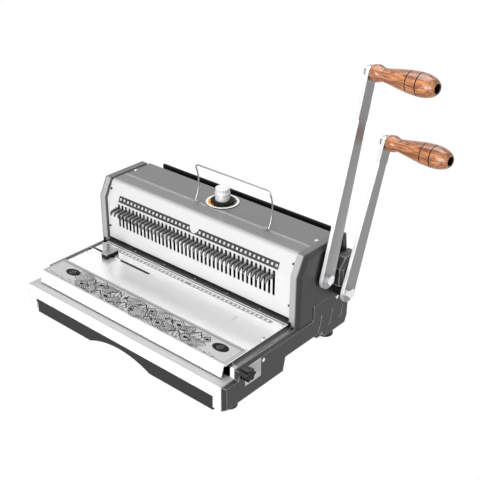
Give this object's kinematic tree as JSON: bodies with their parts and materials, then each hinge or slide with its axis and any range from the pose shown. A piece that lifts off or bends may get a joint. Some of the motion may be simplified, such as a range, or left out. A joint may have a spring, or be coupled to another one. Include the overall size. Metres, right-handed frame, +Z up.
{
  "type": "wire binding machine",
  "caption": "Manual desktop wire binding machine: paper deck with a row punch, hooked slot panel, rear wire closer, dial, wire bail and side levers with wooden grips.",
  "frame": {"origin": "on the surface the machine stands on, under the middle of the overall box", "axes": "+X to the operator's right, along the row of punches and towards the levers; +Y to the rear; +Z up"},
  "size_m": [0.554, 0.3418, 0.4445],
  "materials": {
    "silver_coat": "satin metallic paint",
    "top_coat": "satin metallic paint, darker",
    "charcoal": "fine textured paint",
    "frame_grey": "satin paint",
    "black_metal": "satin black paint",
    "steel": "machined steel",
    "nickel": "nickel plated, satin",
    "bright": "bright plating",
    "bronze": "sintered bronze",
    "rubber": "moulded rubber",
    "black_plastic": "moulded plastic",
    "drawer_plastic": "moulded plastic",
    "print_plate": "printed sheet",
    "scale_plate": "printed label",
    "dial_black": "printed disc with a bright rim",
    "wood": "varnished turned hardwood"
  },
  "bodies": {
    "base": {"base_pan": "frame_grey", "feet": "rubber", "fascia": "silver_coat", "side_cover_left": "charcoal", "side_cover_right": "charcoal", "deck": "silver_coat", "label_plate": "print_plate", "knob_plate": "scale_plate", "end_frame_left": "frame_grey", "end_frame_right": "frame_grey", "end_cover_left": "charcoal", "end_cover_right": "charcoal", "front_cover": "silver_coat", "top_cover": "top_coat", "hole_strip": "black_metal", "hook_comb": "steel", "die_plate": "black_metal", "pin_guide": "steel", "ram_guides": "steel", "shaft_bushes": "bronze", "closing_guides": "steel", "anvil_plate": "steel", "rear_panel": "black_metal", "rear_guard": "black_metal", "lever_housing": "charcoal", "dial_plate": "dial_black", "bail_clips": "top_coat", "cover_screws": "bright", "panel_screws": "black_metal"},
    "punch_drive": {"punch_shaft": "steel", "punch_collar": "black_metal", "punch_cams": "steel", "punch_lever": "nickel", "punch_bolt": "nickel", "punch_stud": "bright"},
    "punch_handle": {"punch_grip": "wood"},
    "ram": {"ram_bar": "steel", "punch_pins": "steel"},
    "closing_drive": {"closing_shaft": "steel", "closing_collar": "black_metal", "closing_cams": "steel", "closing_lever": "nickel", "closing_bolt": "nickel", "closing_stud": "bright"},
    "closing_handle": {"closing_grip": "wood"},
    "closing_carriage": {"closing_bar": "black_metal", "closing_brackets": "steel"},
    "size_control": {"knob_skirt": "black_plastic", "size_knob": "bright", "size_spindle": "steel"},
    "margin_control": {"margin_knob": "black_plastic", "margin_shaft": "steel"},
    "depth_stop": {"depth_slide": "steel"},
    "paper_guide": {"side_guide": "bright", "guide_slider": "black_plastic"},
    "drawer": {"chip_drawer": "drawer_plastic"},
    "bail": {"wire_bail": "bright"}
  },
  "joints": [
    {"name": "punch_lever_swing", "type": "hinge", "parent": "base", "child": "punch_drive", "pos_m": [-0.06379, 0.04708, 0.133], "axis": [1, 0, 0], "range_deg": [0, 80]},
    {"name": "ram_travel", "type": "slide", "parent": "base", "child": "ram", "axis": [0, 0, -1], "range_m": [0, 0.008]},
    {"name": "punch_grip_turn", "type": "hinge", "parent": "punch_drive", "child": "punch_handle", "pos_m": [0.15496, 0.12499, 0.42581], "axis": [0.9945, -0.101, 0.0269], "continuous": true},
    {"name": "closing_lever_swing", "type": "hinge", "parent": "base", "child": "closing_drive", "pos_m": [-0.06379, 0.08408, 0.099], "axis": [1, 0, 0], "range_deg": [0, 70]},
    {"name": "closing_bar_travel", "type": "slide", "parent": "base", "child": "closing_carriage", "axis": [0, -1, 0], "range_m": [0, 0.01]},
    {"name": "closing_grip_turn", "type": "hinge", "parent": "closing_drive", "child": "closing_handle", "pos_m": [0.16746, 0.15972, 0.31621], "axis": [0.9945, -0.0987, 0.0344], "continuous": true},
    {"name": "size_knob_turn", "type": "hinge", "parent": "base", "child": "size_control", "pos_m": [-0.06229, 0.06148, 0.182], "axis": [0, 0, -1], "range_deg": [0, 300]},
    {"name": "margin_knob_turn", "type": "hinge", "parent": "base", "child": "margin_control", "pos_m": [-0.06379, -0.13092, 0.062], "axis": [1, 0, 0], "range_deg": [0, 180]},
    {"name": "depth_stop_travel", "type": "slide", "parent": "base", "child": "depth_stop", "axis": [0, 1, 0], "range_m": [0, 0.005]},
    {"name": "side_guide_travel", "type": "slide", "parent": "base", "child": "paper_guide", "axis": [1, 0, 0], "range_m": [-0.02, 0.08]},
    {"name": "drawer_travel", "type": "slide", "parent": "base", "child": "drawer", "axis": [0, -1, 0], "range_m": [0, 0.12]},
    {"name": "bail_fold", "type": "hinge", "parent": "base", "child": "bail", "pos_m": [-0.02044, 0.03358, 0.1839], "axis": [1, 0, 0], "range_deg": [-65, 0]}
  ],
  "couplings": [
    {"joint": "ram_travel", "follows": "punch_lever_swing", "m_per_rad": 0.0057296},
    {"joint": "closing_bar_travel", "follows": "closing_lever_swing", "m_per_rad": 0.0081851},
    {"joint": "margin_knob_turn", "follows": "depth_stop_travel", "rad_per_m": 628.32}
  ]
}
